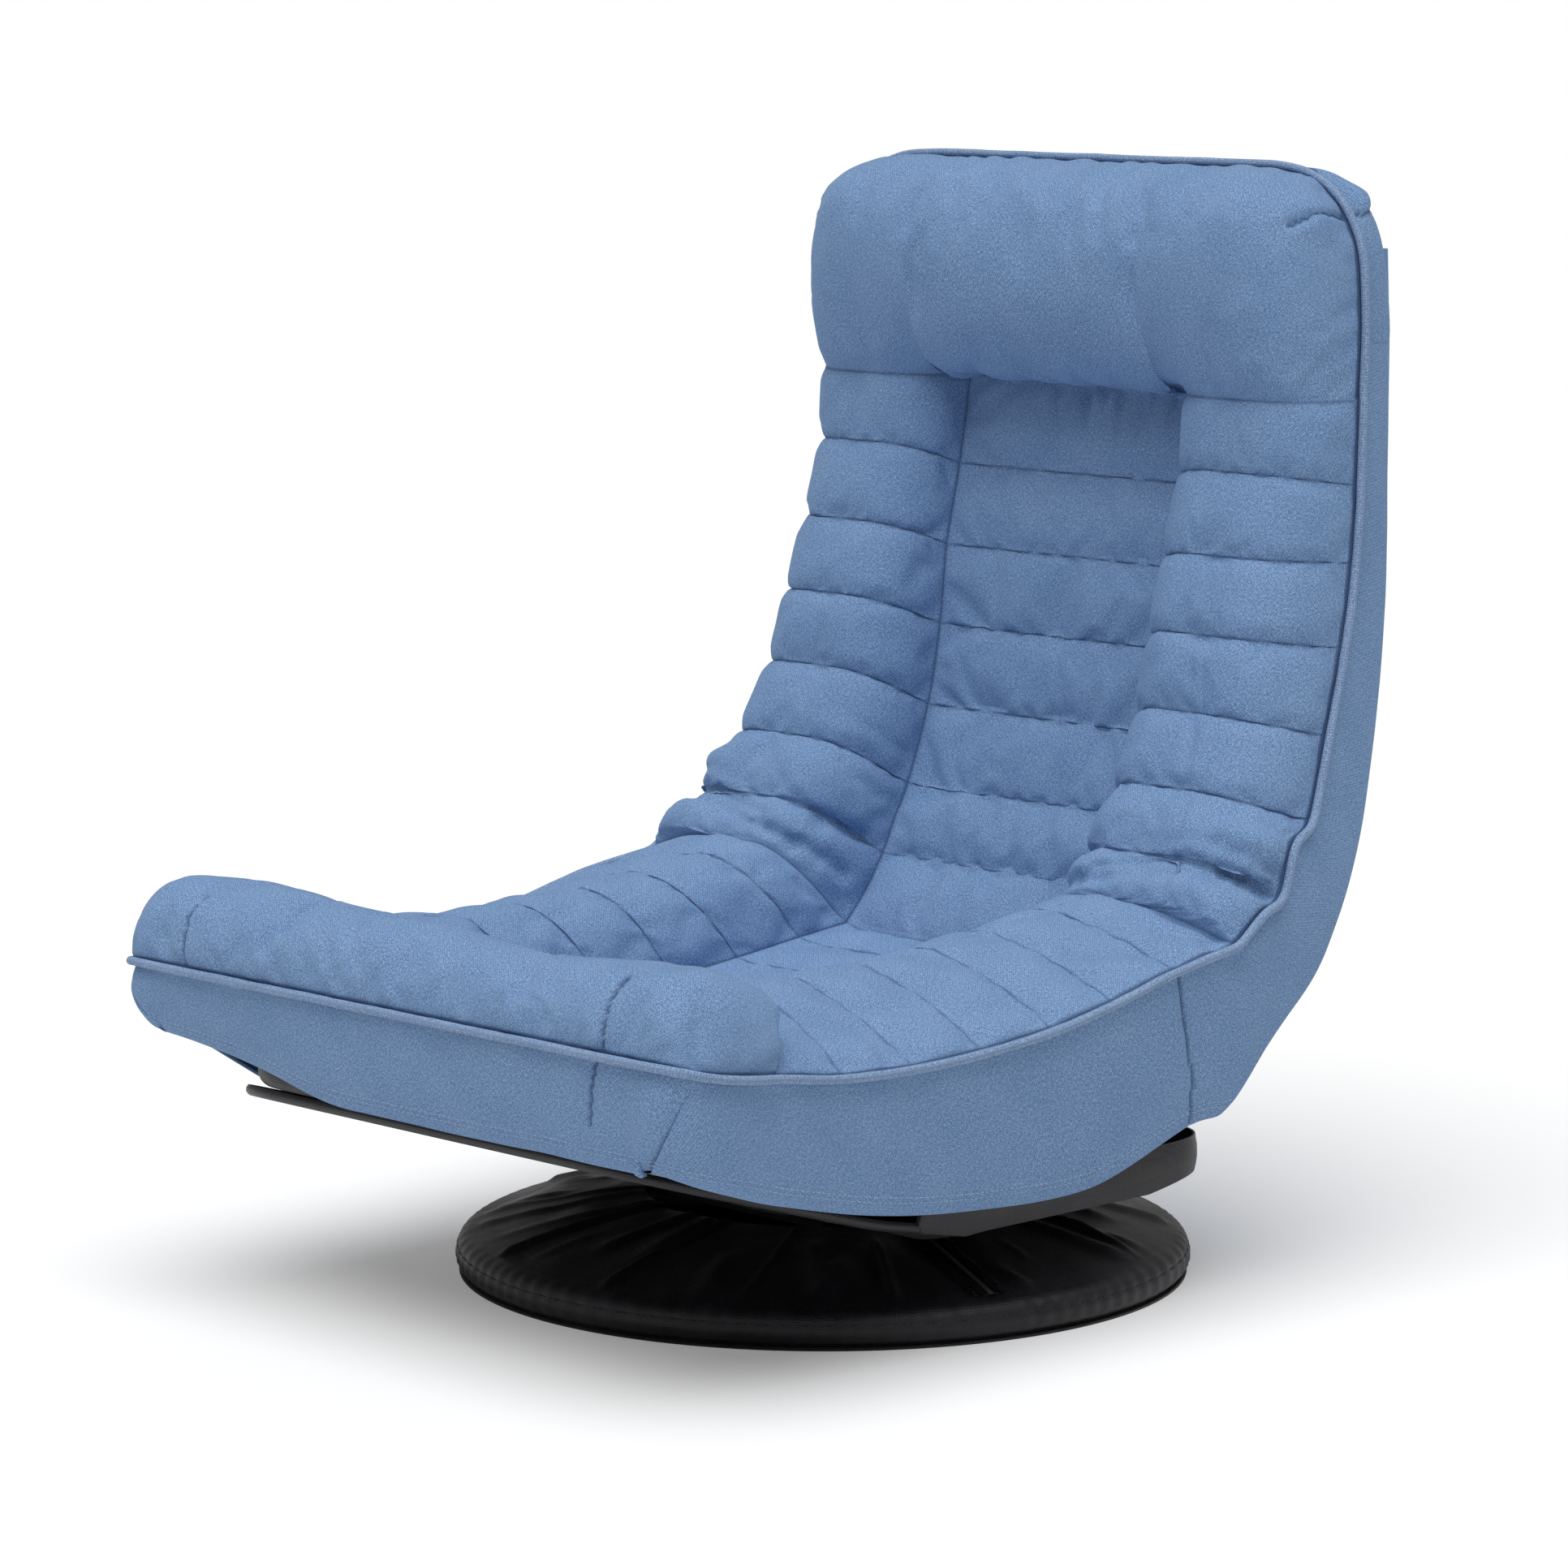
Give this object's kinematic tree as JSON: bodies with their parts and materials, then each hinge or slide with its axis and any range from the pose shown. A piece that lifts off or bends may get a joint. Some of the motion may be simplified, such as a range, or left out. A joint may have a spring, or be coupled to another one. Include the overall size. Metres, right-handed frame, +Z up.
{
  "type": "floor gaming chair",
  "caption": "Legless floor gaming chair with a quilted bucket seat, a ratchet-reclining back and a round cloth-covered swivel base.",
  "frame": {"origin": "on the floor under the swivel axis, centre of the base's flat underside", "axes": "+Z up along the swivel axis, the chair faces -Y, +X is the sitter's left"},
  "size_m": [0.5174, 0.6447, 0.697],
  "materials": {
    "blue_fabric": "heather blue woven polyester over foam",
    "blue_piping": "corded edge in the same woven polyester",
    "black_cloth": "black coated polyester cloth with a satin sheen",
    "painted_steel": "black powder coat",
    "zinc_steel": "zinc plated pressed steel",
    "fastener_steel": "zinc plated fasteners",
    "black_plastic": "moulded nylon",
    "zip_metal": "black enamelled die casting",
    "webbing": "elastic upholstery webbing"
  },
  "bodies": {
    "base": {"base_bottom_cloth": "black_cloth", "base_ring": "painted_steel", "base_spokes": "painted_steel", "hub_plate": "painted_steel", "swivel_lower_plate": "zinc_steel", "swivel_rivet": "zinc_steel", "hub_bolts": "fastener_steel", "hub_nuts": "fastener_steel", "base_cover": "black_cloth", "base_cover_seam": "black_cloth", "zip_tape": "black_cloth", "zip_teeth": "black_plastic"},
    "zip_slider": {"zip_slider": "zip_metal", "zip_pull": "zip_metal"},
    "ball_cage": {"ball_cage": "black_plastic", "bearing_balls": "zinc_steel"},
    "seat": {"swivel_upper_plate": "zinc_steel", "mount_rails": "painted_steel", "rail_bolts": "fastener_steel", "rail_nuts": "fastener_steel", "seat_frame": "painted_steel", "seat_cross_tube": "painted_steel", "seat_webbing": "webbing", "seat_center_pad": "blue_fabric", "front_roll": "blue_fabric", "seat_tray": "black_cloth", "seat_piping": "blue_piping", "rear_fold_panel": "blue_fabric", "seat_bolster_left": "blue_fabric", "seat_bolster_right": "blue_fabric", "seat_arm_left": "zinc_steel", "seat_arm_right": "zinc_steel", "front_apron": "blue_fabric", "seat_side_panel_left": "blue_fabric", "seat_side_panel_right": "blue_fabric"},
    "back": {"back_frame": "painted_steel", "back_cross_tubes": "painted_steel", "back_webbing": "webbing", "back_center_pad": "blue_fabric", "headrest_pad": "blue_fabric", "back_rear_foam": "blue_fabric", "back_panel_lower": "blue_fabric", "back_panel_upper": "blue_fabric", "back_piping": "blue_piping", "back_arm_left": "zinc_steel", "back_arm_right": "zinc_steel", "hinge_pin_left": "fastener_steel", "hinge_pin_right": "fastener_steel", "pawl_pin_left": "fastener_steel", "pawl_pin_right": "fastener_steel", "back_bolster_left": "blue_fabric", "back_bolster_right": "blue_fabric", "back_side_panel_left": "blue_fabric", "back_side_panel_right": "blue_fabric", "pawl_spring_left": "fastener_steel", "pawl_spring_right": "fastener_steel"},
    "pawl_left": {"pawl_left": "zinc_steel"},
    "pawl_right": {"pawl_right": "zinc_steel"}
  },
  "joints": [
    {"name": "swivel", "type": "hinge", "parent": "base", "child": "seat", "pos_m": [0, 0, 0.058], "axis": [0, 0, 1], "continuous": true},
    {"name": "ball_cage_spin", "type": "hinge", "parent": "base", "child": "ball_cage", "pos_m": [0, 0, 0.0541], "axis": [0, 0, 1], "continuous": true},
    {"name": "back_recline", "type": "hinge", "parent": "seat", "child": "back", "pos_m": [0, 0.135, 0.185], "axis": [1, 0, 0], "range_deg": [-75, 15], "deforming": ["rear_fold_panel"]},
    {"name": "pawl_left_lift", "type": "hinge", "parent": "back", "child": "pawl_left", "pos_m": [0, 0.14736, 0.22304], "axis": [1, 0, 0], "range_deg": [0, 13], "deforming": ["pawl_spring_left"]},
    {"name": "pawl_right_lift", "type": "hinge", "parent": "back", "child": "pawl_right", "pos_m": [0, 0.14736, 0.22304], "axis": [1, 0, 0], "range_deg": [0, 13], "deforming": ["pawl_spring_right"]},
    {"name": "zip_slide", "type": "slide", "parent": "base", "child": "zip_slider", "axis": [0.9324, -0.2851, -0.2224], "range_m": [0, 0.085]}
  ],
  "couplings": [
    {"joint": "ball_cage_spin", "follows": "swivel", "ratio": 0.5}
  ]
}
